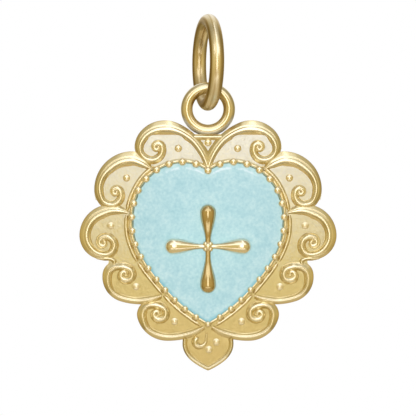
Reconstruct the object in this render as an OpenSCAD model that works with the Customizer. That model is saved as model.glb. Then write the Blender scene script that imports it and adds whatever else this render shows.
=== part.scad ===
// Cross charm: a scalloped plate with applied scrolls, a domed heart inlay in a beaded bezel,
// a cross pegged on the inlay, a fixed loop and a jump ring.
// Millimetres. The charm hangs in the XZ plane, its front faces -Y and +Z is up.
// The origin is the centre of the jump ring, where a chain passes.

/* [Jump ring] */
// Outer diameter of the jump ring
ring_od = 6.8; // [6:0.1:9]
// Wire diameter of the jump ring
ring_wire = 1.0; // [0.7:0.05:1.2]
// Turn of the jump ring about the vertical, away from edge-on
ring_turn = 12.5; // [0:0.5:25]

/* [Top loop] */
// Outer diameter of the fixed loop
loop_od = 3.8; // [3.4:0.1:5]
// Wire diameter of the loop
loop_wire = 0.82; // [0.6:0.02:1]
// Free gap between the loop and the jump ring as they hang
hang_gap = 0.2; // [0.1:0.05:0.5]
// Depth that the loop sinks into its saddle on the plate
loop_seat = 0.12; // [0.05:0.01:0.25]

/* [Plate] */
// Width over the widest lobes
charm_w = 18; // [14:0.5:26]
// Thickness of the plate
plate_t = 1.1; // [0.9:0.05:2]
// Height of the bar across the top of the plate
crown_h = 0.2; // [0.1:0.05:0.5]
// Width of the bar across the top of the plate
crown_w = 0.18; // [0.1:0.01:0.3]

/* [Scrolls] */
// Width of the bevel outside a rim's crest
rim_out = 0.42; // [0.3:0.01:0.5]
// Width of the drop inside a rim's crest
rim_in = 0.22; // [0.1:0.01:0.3]
// Height of a rim's crest above the field
rim_h = 0.3; // [0.2:0.01:0.6]
// Height of a rim's outer edge above the field
rim_edge = 0.1; // [0.05:0.01:0.2]
// Width of a coil at its foot
coil_w = 0.3; // [0.2:0.01:0.34]
// Height of a coil above the field
coil_h = 0.22; // [0.15:0.01:0.5]
// Flat width of every crest
crest_w = 0.06; // [0.02:0.01:0.1]

/* [Bezel] */
// Width of the bezel wall
bezel_w = 0.36; // [0.28:0.01:0.5]
// Height of the bezel wall above the field
bezel_h = 0.34; // [0.3:0.01:0.7]
// Diameter of the grains along the bezel
grain_d = 0.56; // [0.44:0.01:0.7]
// Grain spacings along one half of the heart
grain_steps = 18; // [12:1:20]
// Diameter of the single grains on the fields
dot_d = 0.46; // [0.3:0.01:0.6]
// Width of the border wires beside the bezel
border_w = 0.2; // [0.12:0.01:0.24]
// Height of the border wires
border_h = 0.16; // [0.1:0.01:0.4]
// Gap between the border wires and the bezel's grains
border_gap = 0.03; // [0.02:0.01:0.05]

/* [Inlay] */
// Depth of the inlay's pocket in the plate
pocket_d = 0.3; // [0.15:0.01:0.5]
// Height of the inlay's edge above the field
inlay_edge = 0.18; // [0.05:0.01:0.2]
// Rise of the inlay's dome from the edge to the middle
inlay_rise = 0.3; // [0.1:0.01:0.6]

/* [Cross] */
// Length of the upper arm from the middle
arm_up = 2.92; // [2.4:0.02:3.2]
// Length of the lower arm from the middle
arm_down = 3.26; // [2.6:0.02:3.6]
// Length of the side arms from the middle
arm_side = 3.0; // [2.4:0.02:3.4]
// Diameter of the drop at the end of an arm
drop_d = 1.0; // [0.8:0.02:1.2]
// Diameter of an arm where it leaves the middle
neck_d = 0.34; // [0.24:0.01:0.5]
// Diameter of the boss in the middle
boss_d = 0.66; // [0.5:0.01:0.8]
// Diameter of the pegs behind the upper and lower arms
peg_d = 0.4; // [0.3:0.01:0.5]
// Share of the inlay's thickness that the pegs go into
peg_share = 0.45; // [0.3:0.05:0.7]

/* [Fits] */
// Gap left for solder or cement between two fixed pieces
fit_gap = 0.015; // [0.005:0.005:0.03]

/* [Hidden] */
$fn = 64;

// The lines below are drawn for a charm of this width, from the foot of the loop
drawn_w = 18;
k = charm_w / drawn_w;

// Scroll lines: start, heading, turn, rim arcs and coil arcs, each arc as [radius, sweep]
scroll_lines = [
    [[-0.07, -2.05], 106, 1, [[4.02, 50], [1.78, 71], [1.40, 44]],
        [[0.80, 92], [0.74, 103], [0.33, 111], [0.22, 131]]],
    [[-3.94, -2.38], 134, 1, [[4.90, 15], [0.78, 33], [2.28, 104]],
        [[0.77, 68], [0.73, 132], [0.32, 94], [0.22, 131]]],
    [[-5.57, -5.41], 160, 1, [[3.72, 19], [1.80, 87], [1.33, 101]],
        [[0.63, 53], [0.60, 135], [0.40, 62], [0.24, 112]]],
    [[-3.29, -11.16], 200, -1, [[4.23, 38], [1.41, 80], [0.63, 79]],
        [[2.03, 24], [0.46, 73], [0.44, 128], [0.31, 109]]],
    [[-0.32, -13.34], 209, -1, [[5.10, 30], [1.80, 73], [0.63, 90]],
        [[1.25, 46], [0.46, 87], [0.43, 127], [0.23, 89]]],
];
// Scrolls that lie under the one before them, counted from the top
under_last = [false, true, true, false, true];
// Middle line of the bezel's left half, from the notch to the tip
heart_line = [[0, -2.44], 142, [[2.85, 50], [3.59, 57], [5.21, 51], [12.3, 31]]];
// Edge of the tail leaf's left half
tail_line = [[-1.65, -14.16], 253, [[1.29, 46], [1.85, 24], [5.18, 26]]];
// Reach of the plate's web outside the bezel's line, and its corner between the third and fourth lobes
web_out = 1.75;
notch_web = [[-7.1, -8.2], [-6.95, -8.84], [-7.1, -9.2]];
// Half width and depth of the triangle under the loop
crown_half = 1.25;
crown_deep = 2.2;
// Widths of the tail leaf's rim outside and inside its edge, and its height
tail_out = 0.14;
tail_in = 0.12;
tail_h = 0.18;
// Curl on the tail leaf
curl_line = [[-0.12, -13.75], 270, [[7, 5], [0.42, 88], [0.33, 80], [0.2, 110]]];
curl_w = 0.24;
// Shares of their diameter that the bezel's grains and the field grains are sunk
grain_sink = 0.1;
dot_sink = 0.15;
// Grains on the fields of the left lobes, then those in the middle
lobe_dots = [[-2.08, -0.88], [-5.70, -2.95], [-6.81, -6.28], [-5.04, -10.56], [-2.35, -13.00]];
middle_dots = [[0, -0.47], [0.58, -14.44], [0.06, -14.97]];
// Spans of the border wires, as directions from the middle of the cross
border_spans = [[131, 151], [161, 188], [199, 223], [234, 259]];
// Half the angle between two arms of the cross
half_corner = 45;
// Middle of the cross, and the reach of the heart from there
hub = [0, -7.73];
heart_reach = 5.2;

ring_r = (ring_od - ring_wire) / 2;
loop_r = (loop_od - loop_wire) / 2;
loop_z = -ring_od / 2 + ring_wire + hang_gap + loop_wire / 2 - loop_r;
pattern_z = loop_z - loop_od / 2;
face_y = -plate_t / 2;
heart_arcs = scaled(heart_line[2]);
heart_len = path_len(heart_arcs);
border_off = max(bezel_w, grain_d) / 2 + border_gap + border_w / 2;
grain_lift = bezel_h - grain_d * grain_sink;
dot_lift = -dot_d * dot_sink;
inlay_half = heart_reach * k;
dome_r = (inlay_half * inlay_half + inlay_rise * inlay_rise) / (2 * inlay_rise);
dome_top = inlay_edge + inlay_rise;
peg_depth = peg_share * (dome_top + pocket_d);
// The cross rests on the dome with the drops that lie nearest its middle
drop_r = drop_d / 2;
near_drop = min(arm_up, arm_down, arm_side) * k - drop_r;
cross_lift = dome_top - dome_r + sqrt(pow(dome_r + drop_r + fit_gap, 2) - pow(near_drop, 2));
// Loss of width and height from one arc of a line to the next, and length let into the last arc
taper = 0.012;
lap_len = 0.05;
cut_h = 3;
wide = 40;
// Largest turn between two points of an outline
arc_step = 4;
// Facets of the shallow dome in a preview
dome_fn = 240;

gold = [0.80, 0.64, 0.30];
pale_gold = [0.87, 0.76, 0.46];
bright_gold = [0.93, 0.84, 0.58];
turquoise = [0.72, 0.87, 0.88];

// Arcs at the charm's own size
function scaled(arcs) = [for (a = arcs) [a[0] * k, a[1]]];

// Where an arc ends that starts at the origin along +X and turns left
function arc_end(a) = [a[0] * sin(a[1]), a[0] * (1 - cos(a[1]))];

function turned(v, h) = [v.x * cos(h) - v.y * sin(h), v.x * sin(h) + v.y * cos(h)];

function arc_len(a) = a[0] * a[1] * PI / 180;

function path_len(arcs, i = 0) = i == len(arcs) ? 0 : arc_len(arcs[i]) + path_len(arcs, i + 1);

// Point and heading at a length along a path
function path_at(arcs, s, p, h, i = 0) =
    s <= arc_len(arcs[i]) || i == len(arcs) - 1
        ? [p + turned(arc_end([arcs[i][0], s / arcs[i][0] * 180 / PI]), h), h + s / arcs[i][0] * 180 / PI]
        : path_at(arcs, s - arc_len(arcs[i]), p + turned(arc_end(arcs[i]), h), h + arcs[i][1], i + 1);

// Unit step in a direction
function reach(h) = [cos(h), sin(h)];

// Unit step out of a path to the right of its heading
function side(h) = [sin(h), -cos(h)];

// Points along a path, moved out of it
function path_points(arcs, out, p = [0, 0], h = 0, i = 0) =
    i == len(arcs)
        ? [p + out * side(h)]
        : let (a = arcs[i], n = ceil(a[1] / arc_step))
          concat([for (j = [0:n - 1])
                  let (t = a[1] * j / n) p + turned(arc_end([a[0], t]), h) + out * side(h + t)],
              path_points(arcs, out, p + turned(arc_end(a), h), h + a[1], i + 1));

// Grain places along the heart, from the notch round the left half to the tip
function grain_at(i) = path_at(heart_arcs, heart_len * i / grain_steps, heart_line[0] * k, heart_line[1])[0];

// Pattern space on the charm's face: X across, Y up, Z out of the face
module on_face(h = 0) {
    translate([0, face_y - h, pattern_z]) rotate([90, 0, 0]) children();
}

// The children and their mirror image across the charm's middle
module both_sides() {
    children();
    mirror([1, 0, 0]) children();
}

// A profile carried along one arc after another, each a little slimmer and let into the last one;
// the profile's X is the distance outside the path
module carried(arcs, i = 0) {
    $slim = i * taper;
    if (i < len(arcs)) {
        r = arcs[i][0];
        lap = lap_len / r * 180 / PI;
        translate([0, r, 0]) rotate(-90 - lap) rotate_extrude(angle = arcs[i][1] + lap)
            translate([r, 0]) children();
        translate(arc_end(arcs[i])) rotate(arcs[i][1]) carried(arcs, i + 1) children();
    }
}

// Moved to where a path ends
module at_end(arcs, i = 0) {
    if (i < len(arcs)) {
        translate(arc_end(arcs[i])) rotate(arcs[i][1]) at_end(arcs, i + 1) children();
    } else {
        children();
    }
}

// Start of a scroll's line, facing along it
module scroll_start(n) {
    line = scroll_lines[n];
    translate(line[0] * k) rotate(line[1]) scale([1, line[2], 1]) children();
}

// Flat outline of a scroll's lobe from the middle of the heart, grown by a gap
module lobe_area(n, gap = 0) {
    line = scroll_lines[n];
    rim = scaled(line[3]);
    coil = scaled(line[4]);
    coil_start = path_at(rim, path_len(rim), [0, 0], 0);
    coil_foot = [coil[0], [coil[1][0], coil[1][1] / 2]];
    edge = concat(path_points(rim, rim_out * k + gap),
        path_points(coil_foot, coil_w * k / 2 + gap, coil_start[0], coil_start[1]));
    polygon(concat([hub * k], [for (p = edge) line[0] * k + turned([p.x, p.y * line[2]], line[1])]));
}

// Flat outline with two like halves, such as the heart, grown from the line of its left half
module mirrored_area(line, out) {
    half = [for (p = path_points(scaled(line[2]), out, line[0] * k, line[1])) if (p.x < 0) p];
    last = len(half) - 1;
    polygon(concat(half, [for (i = [0:last]) [-half[last - i].x, half[last - i].y]]));
}

module heart_area(out) {
    mirrored_area(heart_line, out);
}

module rim_profile() {
    polygon([[$slim - rim_in * k, 0], [rim_out * k - $slim, 0], [rim_out * k - $slim, rim_edge - $slim],
        [crest_w / 2, rim_h - $slim], [-crest_w / 2, rim_h - $slim]]);
}

module coil_profile(out, in, h) {
    polygon([[$slim - in, 0], [out - $slim, 0], [crest_w / 2, h - $slim], [-crest_w / 2, h - $slim]]);
}

// Round wire bent to a ring in the XZ plane
module wire_ring(r, wire) {
    rotate([90, 0, 0]) rotate_extrude() translate([r, 0]) circle(d = wire);
}

// Flat outline of the whole plate
module plate_area() {
    both_sides() for (n = [0:4]) lobe_area(n);
    heart_area(web_out * k);
    both_sides() polygon(concat([hub * k], notch_web * k));
    mirrored_area(tail_line, tail_out * k);
    crown_area();
}

// Small triangle between the two top lobes, under the loop
module crown_area() {
    polygon([[-crown_half * k, loop_seat], [crown_half * k, loop_seat], [0, -crown_deep * k]]);
}

module top_bar() {
    difference() {
        intersection() {
            crown_area();
            translate([-wide / 2, -crown_w]) square([wide, wide]);
        }
        both_sides() lobe_area(0, fit_gap);
    }
}

module dot_places() {
    for (p = lobe_dots, side = [1, -1]) translate([p.x * k * side, p.y * k, dot_lift]) children();
    for (p = middle_dots) translate([p.x * k, p.y * k, dot_lift]) children();
}

module grain_places() {
    for (i = [0:grain_steps]) translate(concat(grain_at(i), [grain_lift])) children();
    for (i = [1:grain_steps - 1]) mirror([1, 0, 0]) translate(concat(grain_at(i), [grain_lift])) children();
}

module jump_ring() {
    color(gold) rotate(ring_turn - 90) wire_ring(ring_r, ring_wire);
}

module top_loop() {
    color(gold) translate([0, 0, loop_z]) wire_ring(loop_r, loop_wire);
}

module back_plate() {
    color(pale_gold) difference() {
        union() {
            on_face(-plate_t) linear_extrude(plate_t) plate_area();
            on_face() linear_extrude(crown_h) top_bar();
        }
        translate([0, 0, loop_z]) wire_ring(loop_r, loop_wire + 2 * fit_gap);
        on_face(-pocket_d) linear_extrude(cut_h) heart_area(-bezel_w / 2);
        on_face() dot_places() sphere(d = dot_d + 2 * fit_gap);
    }
}

// One scroll of the left side: its rim, then its coil, let in round what lies over it
module scroll(n) {
    rim = scaled(scroll_lines[n][3]);
    coil = scaled(scroll_lines[n][4]);
    color(gold) difference() {
        on_face(fit_gap) scroll_start(n) {
            carried(rim) rim_profile();
            at_end(rim) carried(coil) coil_profile(coil_w * k / 2, coil_w * k / 2, coil_h);
        }
        on_face() linear_extrude(cut_h) heart_area(bezel_w / 2 + fit_gap);
        on_face() linear_extrude(cut_h) translate([-fit_gap, -wide]) square([wide, 2 * wide]);
        if (under_last[n]) on_face() linear_extrude(cut_h) lobe_area(n - 1, fit_gap);
    }
}

module scroll_right(n) {
    mirror([1, 0, 0]) scroll(n);
}

module tail_rim() {
    arcs = scaled(tail_line[2]);
    color(gold) on_face(fit_gap) difference() {
        both_sides() intersection() {
            translate(tail_line[0] * k) rotate(tail_line[1]) carried(arcs)
                coil_profile(tail_out * k, tail_in * k, tail_h);
            translate([-wide, -wide, -cut_h]) cube([wide, 2 * wide, 2 * cut_h]);
        }
        both_sides() translate([0, 0, -cut_h]) linear_extrude(2 * cut_h) lobe_area(4, fit_gap);
    }
}

module tail_curl() {
    color(gold) on_face(fit_gap) difference() {
        translate(curl_line[0] * k) rotate(curl_line[1]) mirror([0, 1, 0])
            carried(scaled(curl_line[2])) coil_profile(curl_w * k / 2, curl_w * k / 2, tail_h);
        both_sides() translate([0, 0, -cut_h]) linear_extrude(2 * cut_h) lobe_area(4, fit_gap);
    }
}

module border_wires() {
    color(gold) on_face(fit_gap) both_sides() for (span = border_spans) linear_extrude(border_h)
        intersection() {
            difference() {
                heart_area(border_off + border_w / 2);
                heart_area(border_off - border_w / 2);
            }
            translate(hub * k) polygon([[0, 0], wide * reach(span[0]), wide * reach(span[1])]);
        }
}

module heart_bezel() {
    color(gold) on_face(fit_gap) difference() {
        linear_extrude(bezel_h) difference() {
            heart_area(bezel_w / 2);
            heart_area(-bezel_w / 2);
        }
        grain_places() sphere(d = grain_d + 2 * fit_gap);
    }
}

module bezel_grains() {
    color(bright_gold) on_face(fit_gap) grain_places() sphere(d = grain_d);
}

module field_grains() {
    color(bright_gold) on_face() dot_places() sphere(d = dot_d);
}

module heart_inlay() {
    color(turquoise) difference() {
        intersection() {
            on_face(fit_gap - pocket_d) linear_extrude(cut_h) heart_area(-bezel_w / 2 - fit_gap);
            on_face(dome_top - dome_r) translate(hub * k) rotate([0, 90, 0]) sphere(r = dome_r, $fn = dome_fn);
        }
        on_face(dome_top - peg_depth) pegs(peg_d + 2 * fit_gap);
    }
}

// One arm of the cross along +Y: a drop with a tapering neck
module arm(tip) {
    neck_r = neck_d / 2;
    middle = tip - drop_r;
    lean = asin((drop_r - neck_r) / middle);
    rotate([-90, 0, 0]) rotate_extrude() intersection() {
        union() {
            translate([0, middle]) circle(drop_r);
            polygon([[0, 0], [neck_r, 0], [drop_r * cos(lean), middle - drop_r * sin(lean)], [0, middle]]);
        }
        square(wide);
    }
}

// Pegs from the upper and lower drops into the inlay
module pegs(d) {
    translate(hub * k) for (y = [arm_up * k - drop_r, drop_r - arm_down * k]) translate([0, y, 0])
        cylinder(d = d, h = peg_depth + drop_r);
}

module cross() {
    color(bright_gold) {
        on_face(cross_lift) translate(hub * k) {
            arm(arm_up * k);
            rotate(90) arm(arm_side * k);
            rotate(-90) arm(arm_side * k);
            rotate(180) arm(arm_down * k);
            rotate(half_corner) sphere(d = boss_d);
        }
        on_face(dome_top - peg_depth + fit_gap) pegs(peg_d);
    }
}

jump_ring();
top_loop();
back_plate();
scroll(0);  // scroll_left_1
scroll(1);  // scroll_left_2
scroll(2);  // scroll_left_3
scroll(3);  // scroll_left_4
scroll(4);  // scroll_left_5
scroll_right(0);  // scroll_right_1
scroll_right(1);  // scroll_right_2
scroll_right(2);  // scroll_right_3
scroll_right(3);  // scroll_right_4
scroll_right(4);  // scroll_right_5
tail_rim();
tail_curl();
border_wires();
heart_bezel();
bezel_grains();
field_grains();
heart_inlay();
cross();
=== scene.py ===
# %% [markdown]
# # Cross charm
# A gold charm the size of a fingertip: a scalloped plate with raised scrolls, a pale turquoise heart
# in a beaded bezel, a small cross, a loop and a jump ring. Each piece stands for a solid of the
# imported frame, lies where it lies, and adds rounded sections and finishes.

# %% Load the frame
import math
from functools import partial

import bmesh
import bpy
import numpy as np
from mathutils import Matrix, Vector
from mathutils.geometry import tessellate_polygon


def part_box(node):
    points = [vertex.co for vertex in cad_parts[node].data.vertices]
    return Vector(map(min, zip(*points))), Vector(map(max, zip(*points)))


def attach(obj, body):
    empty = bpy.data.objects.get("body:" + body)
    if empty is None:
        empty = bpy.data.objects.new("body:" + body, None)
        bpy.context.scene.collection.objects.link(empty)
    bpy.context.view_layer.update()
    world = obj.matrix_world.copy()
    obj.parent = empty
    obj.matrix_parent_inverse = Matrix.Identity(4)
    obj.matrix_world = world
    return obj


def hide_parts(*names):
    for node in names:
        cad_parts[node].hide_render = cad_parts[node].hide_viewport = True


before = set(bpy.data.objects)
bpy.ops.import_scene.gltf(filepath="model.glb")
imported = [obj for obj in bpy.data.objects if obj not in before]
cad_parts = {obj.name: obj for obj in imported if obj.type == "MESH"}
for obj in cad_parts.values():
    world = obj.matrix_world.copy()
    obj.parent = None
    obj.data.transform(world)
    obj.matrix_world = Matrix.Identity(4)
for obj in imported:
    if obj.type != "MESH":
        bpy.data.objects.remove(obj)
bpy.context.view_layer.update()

MM = 0.001

# %% [markdown]
# ## The drawing plane
# The relief is nearly flat, so it is drawn flat: x and y in millimetres from the foot of the loop,
# and a height above the plate's face. It could be modelled upright, but a flat drawing is easier to
# read and to mirror. What places it is read off the frame, so it follows the solids.

# %% Place of the drawing
FACE = -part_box("back_plate")[1].y / MM
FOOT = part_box("top_loop")[0].z / MM
HUB = np.array([0.0, -7.73])    # the middle of the heart, where the arms of the cross meet


def on_face(x, y, h):
    """A point of the drawing, h millimetres proud of the plate's face, in the frame's metres."""
    return Vector((x, FACE - h, FOOT + y)) * MM


print("face at y", round(FACE, 3), "mm, loop's foot at z", round(FOOT, 3), "mm")

# %% [markdown]
# ## One helper for nodes
# Finishes and most shapes below are node trees. They could be wired by hand, but a script can be
# read and run again. One helper adds any node, named without its ShaderNode or GeometryNode, with
# its options, ramp stops or curve points. Inputs go by name, or in the order of the sockets; for a
# Map Range that is value, from min, from max, to min, to max. A node that is passed as an input
# stands for its first usable output.

# %% Helper for colours


def linear(hex_colour):
    """An sRGB hex colour as linear RGBA."""
    channels = [int(hex_colour[i:i + 2], 16) / 255 for i in (1, 3, 5)]
    return [c / 12.92 if c <= 0.04045 else ((c + 0.055) / 1.055) ** 2.4 for c in channels] + [1.0]


print("a middle grey, #808080, is", round(linear("#808080")[0], 3), "in linear light")

# %% Helper for nodes


def add(tree, kind, inputs=(), stops=(), curve=(), **settings):
    """Add a node to a tree, with its options, ramp stops or curve points, and its inputs."""
    full = [prefix + kind for prefix in ("ShaderNode", "GeometryNode", "")]
    node = tree.nodes.new(next(name for name in full if hasattr(bpy.types, name)))
    for name, value in settings.items():
        setattr(node, name, value)
    for socket, value in inputs.items() if isinstance(inputs, dict) else enumerate(inputs):
        if isinstance(value, bpy.types.Node):
            value = next(out for out in value.outputs if not out.is_unavailable)
        if isinstance(value, bpy.types.NodeSocket):
            tree.links.new(value, node.inputs[socket])
        else:
            node.inputs[socket].default_value = value
    if stops:
        elements = node.color_ramp.elements
        while len(elements) < len(stops):
            elements.new(1.0)
        for element, (place, colour) in zip(elements, stops):
            element.position, element.color = place, linear(colour)
    if curve:
        points = node.mapping.curves[0].points
        while len(points) < len(curve):
            points.new(0.5, 0.5)
        for point, place in zip(points, curve):
            point.location = place
        node.mapping.update()
    return node


print("nodes go by their short names, such as Math or MapRange")

# %% Helper for materials


def blank(name):
    """A new material with no nodes, and the helper that adds nodes to it."""
    material = bpy.data.materials.new(name)
    material.use_nodes = True
    material.node_tree.nodes.clear()
    return material, partial(add, material.node_tree)


print("materials so far:", len(bpy.data.materials))

# %% [markdown]
# ## Gilding, burnished
# Scrolls, wires and beads are gilt metal rubbed bright with an agate: a mirror with a little haze
# from fine marks. Its colour holds painted light: paler on the crests as a painted highlight, and
# a deeper tone in the grooves as painted shade. A plain gold shader would be one flat tone, and
# painted grooves would need a picture, so the relief carries its height as an attribute and a
# colour ramp turns that into a tone.

# %% Burnished gilding


def gilt(name, low, high, roughness, haze, painted_shade_colour=None, rubbed=0.0, mottle=0.25):
    """Gilding: painted shade in grooves, painted highlight on crests, duller low where rubbed."""
    material, put = blank(name)
    # Clouds in the gilding are about 0.8 mm. Real polishing marks are near 0.03 mm, too fine to
    # show here, so they are drawn at 0.12 mm.
    cloud, mark = 0.8 * MM, 0.12 * MM
    place = put("TexCoord").outputs["Object"]
    height = put("Attribute", attribute_name="height").outputs["Fac"]
    clouds = put("TexNoise", {"Vector": place, "Scale": 1 / cloud, "Detail": 3.0})
    marks = put("TexNoise", {"Vector": place, "Scale": 1 / mark, "Detail": 2.0})
    # Painted light: tone follows height, painted highlight on the crests, painted shade in grooves
    tone = put("Math", [clouds, mottle, height], operation="MULTIPLY_ADD")
    spread = put("MapRange", [tone, 0.5 * mottle - 0.025, 0.5 * mottle + 0.925])
    depths = [(0.0, painted_shade_colour), (0.15, low)] if painted_shade_colour else [(0.0, low)]
    colour = put("ValToRGB", {"Fac": spread}, stops=depths + [(1.0, high)])
    rough = put("MapRange", [marks, 0.3, 0.7, roughness, roughness + haze])
    if rubbed:
        up = put("SeparateXYZ", {"Vector": place}).outputs["Z"]
        rub = put("MapRange", [up, -0.5 * MM, -2.5 * MM, 0.0, rubbed])
        rough = put("Math", [rough, rub], operation="ADD")
    bump = put("Bump", {"Height": marks, "Strength": 0.004, "Distance": 0.01 * MM})
    shader = put("BsdfPrincipled", {
        "Base Color": colour, "Roughness": rough, "Normal": bump, "Metallic": 1.0})
    put("OutputMaterial", {"Surface": shader})
    return material


# To the eye: white lines along the crests; brown gold, partly painted shade, in the grooves between
POLISHED = gilt("burnished_gilding", "#E6DAB6", "#F0E8D2", 0.20, 0.03, painted_shade_colour="#C0A66E")
print("finish:", POLISHED.name)

# %% [markdown]
# ## Trees that make shapes
# A Geometry Nodes tree makes a shape from named inputs: a size, a count, a finish. It could stay
# live as a modifier, but a piece needs a plain mesh in the end. So a tree runs once on a small base
# mesh, its inputs set by identifier beforehand, and only the mesh that it makes is kept.

# %% Helpers for shape trees


def new_shape(name, **inputs):
    """A Geometry Nodes tree and its inputs' identifiers, its node helper, and its input sockets."""
    tree = bpy.data.node_groups.new(name, "GeometryNodeTree")
    tree.interface.new_socket("Geometry", in_out="INPUT", socket_type="NodeSocketGeometry")
    keys = {}
    for title, kind in [(title.replace("_", " "), kind) for title, kind in inputs.items()]:
        socket = tree.interface.new_socket(title, in_out="INPUT", socket_type="NodeSocket" + kind)
        keys[title] = socket.identifier
    tree.interface.new_socket("Geometry", in_out="OUTPUT", socket_type="NodeSocketGeometry")
    put = partial(add, tree)
    return (tree, keys), put, put("NodeGroupInput").outputs


def end_shape(put, shape, given):
    """Close a tree: its instances made real, its finish set."""
    real = put("RealizeInstances", {"Geometry": shape})
    finished = put("SetMaterial", {"Geometry": real, "Material": given["Finish"]})
    put("NodeGroupOutput", {"Geometry": finished})


print("a shape tree ends with its finish")

# %% Helpers for running shape trees


def grown(tree, keys, base, *values):
    """The plain mesh that a tree makes from a base mesh; values go to its inputs in their order."""
    work = bpy.data.objects.new("work", base)
    bpy.context.scene.collection.objects.link(work)
    nodes = work.modifiers.new("shape", "NODES")
    nodes.node_group = tree
    for key, value in zip(keys.values(), values):
        nodes[key] = value
    ready = work.evaluated_get(bpy.context.evaluated_depsgraph_get())
    mesh = bpy.data.meshes.new_from_object(ready)
    bpy.data.objects.remove(work)
    bpy.data.meshes.remove(base)
    return mesh


def note(mesh, name, values):
    """Write a number, or one for each point, on a mesh's points as a named attribute."""
    values = np.broadcast_to(np.float32(values), len(mesh.vertices)).copy()
    mesh.attributes.new(name, "FLOAT", "POINT").data.foreach_set("value", values)


print("shapes to come: ridges, beads and rings")

# %% [markdown]
# ## Sections of the relief
# Each kind of ridge has its own section. A bevel makes only a half round, while chased relief has
# crests, ledges and slopes that each catch a line of light. So a section is a list of points: across
# the ridge from the inner foot at 0 to the outer edge at 1, and the share of the full height there.

# %% Sections
# Upper rims: a crest in the middle, and a fine ledge in the outer slope for a second line of light
RIM_SECTION = [
    (0, 0), (0.06, 0.06), (0.22, 0.38), (0.32, 0.74), (0.38, 0.94), (0.43, 0.99), (0.5, 1.0),
    (0.56, 0.98), (0.60, 0.88), (0.64, 0.74), (0.67, 0.69), (0.72, 0.67), (0.75, 0.62), (0.84, 0.41),
    (0.94, 0.16), (1.0, 0.0)]
# Lower rims and the tail's: a broad crest that falls outwards, and a ledge in the inner slope
BROAD_SECTION = [
    (0, 0), (0.06, 0.06), (0.2, 0.36), (0.28, 0.64), (0.32, 0.74), (0.38, 0.77), (0.41, 0.84),
    (0.44, 0.95), (0.47, 0.99), (0.5, 1.0), (0.56, 0.975), (0.62, 0.935), (0.67, 0.79), (0.72, 0.66),
    (0.84, 0.38), (0.94, 0.15), (1.0, 0.0)]
# Coils, one even ridge with hollow feet, and wires, a full half round: the inner half of each
COIL_HALVED = [(0, 0), (0.07, 0.07), (0.14, 0.22), (0.34, 0.82), (0.42, 0.96), (0.5, 1.0)]
WIRE_HALVED = [(0, 0), (0.06, 0.35), (0.15, 0.65), (0.27, 0.88), (0.4, 0.98), (0.5, 1.0)]
COIL_SECTION, WIRE_SECTION = [
    half + [(round(1 - x, 2), h) for x, h in half[-2::-1]] for half in (COIL_HALVED, WIRE_HALVED)]
SECTIONS = [RIM_SECTION, BROAD_SECTION, COIL_SECTION, WIRE_SECTION]
print("sections of", [len(section) for section in SECTIONS], "points")

# %% [markdown]
# ## A raised ridge along a line
# Rims, coils, wires and the bezel are one form: a section carried along a line. A Curve bevel keeps
# its section from end to end, but these ridges swell, lean and fade. So a tree sweeps a ring along a
# string of points, and moves each point of the ring to a width and a height that the string carries
# as attributes. One of these, coil, picks the section: 0 for a rim, 1 for a coil, 2 for a wire.

# %% Ridge tree


def ridge_tree():
    """The tree that turns a string of points into a ridge."""
    shape, put, given = new_shape(
        "raised_ridge", Points_round_the_section="Int", Sunk_below_the_face="Float",
        Finish="Material")
    floats = dict(data_type="FLOAT", domain="POINT")
    line = put("MeshToCurve", {"Mesh": given["Geometry"]})
    ring = put("CurvePrimitiveCircle", {
        "Resolution": given["Points round the section"], "Radius": 1.0})
    spot = put("SeparateXYZ", {"Vector": put("InputPosition")})
    for name, axis in (("across", "X"), ("over", "Y")):
        ring = put("StoreNamedAttribute", {
            "Geometry": ring, "Name": name, "Value": spot.outputs[axis]}, **floats)
    swept = put("CurveToMesh", {"Curve": line, "Profile Curve": ring, "Fill Caps": True})
    kinds = dict.fromkeys(("across", "over", "out", "inn", "rise", "coil", "broad"), "FLOAT")
    kinds.update(place="FLOAT_VECTOR", aside="FLOAT_VECTOR")
    known = {name: put("InputNamedAttribute", {"Name": name}, data_type=kind)
             for name, kind in kinds.items()}
    # How far to the side: out where across is positive, in where it is negative
    outer = put("Math", [known["across"], 0.0], operation="MAXIMUM")
    inner = put("Math", [known["across"], 0.0], operation="MINIMUM")
    outward = put("Math", [outer, known["out"]], operation="MULTIPLY")
    reach = put("Math", [inner, known["inn"], outward], operation="MULTIPLY_ADD")
    # How high: the section's share of the rise, or the foot for the lower half of the ring
    share = put("MapRange", [known["across"], -1.0, 1.0])
    rim, broad, coil, wire = [
        put("FloatCurve", {"Value": share}, curve=section) for section in SECTIONS]
    edged = put("Mix", {"Factor": known["broad"], "A": rim, "B": broad})
    rolled = put("Mix", {"Factor": known["coil"], "A": edged, "B": coil})
    wired = put("Math", [known["coil"], 1.0], operation="SUBTRACT")
    level = put("Mix", {"Factor": wired, "A": rolled, "B": wire})
    lift = put("Math", [level, known["rise"]], operation="MULTIPLY")
    below = put("Math", [known["over"], -0.001], operation="LESS_THAN")
    foot = put("Math", [given["Sunk below the face"], -1.0], operation="MULTIPLY")
    height = put("Mix", {"Factor": below, "A": lift, "B": foot})
    # The point's new place, and its height, which the finish turns into painted highlight and shade
    shift = put("VectorMath", {0: known["aside"], "Scale": reach}, operation="SCALE")
    moved = put("VectorMath", [known["place"], shift], operation="ADD")
    rise = put("CombineXYZ", {"Z": height})
    raised = put("VectorMath", [moved, rise], operation="ADD")
    toned = put("StoreNamedAttribute", {
        "Geometry": swept, "Name": "height", "Value": level}, **floats)
    shaped = put("SetPosition", {"Geometry": toned, "Position": raised})
    end_shape(put, shaped, given)
    return shape


RIDGE = ridge_tree()
print("ridge tree:", len(RIDGE[0].nodes), "nodes")

# %% [markdown]
# ## Ridges and pieces
# A ridge comes out of its tree flat. A piece is one or more such meshes, set on the plate's face and
# joined into an object that rides on a body of the frame. The Join operator needs a selection, so
# bmesh does it on plain data, merges doubled points and turns all faces outwards.

# %% Helper for ridges


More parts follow.
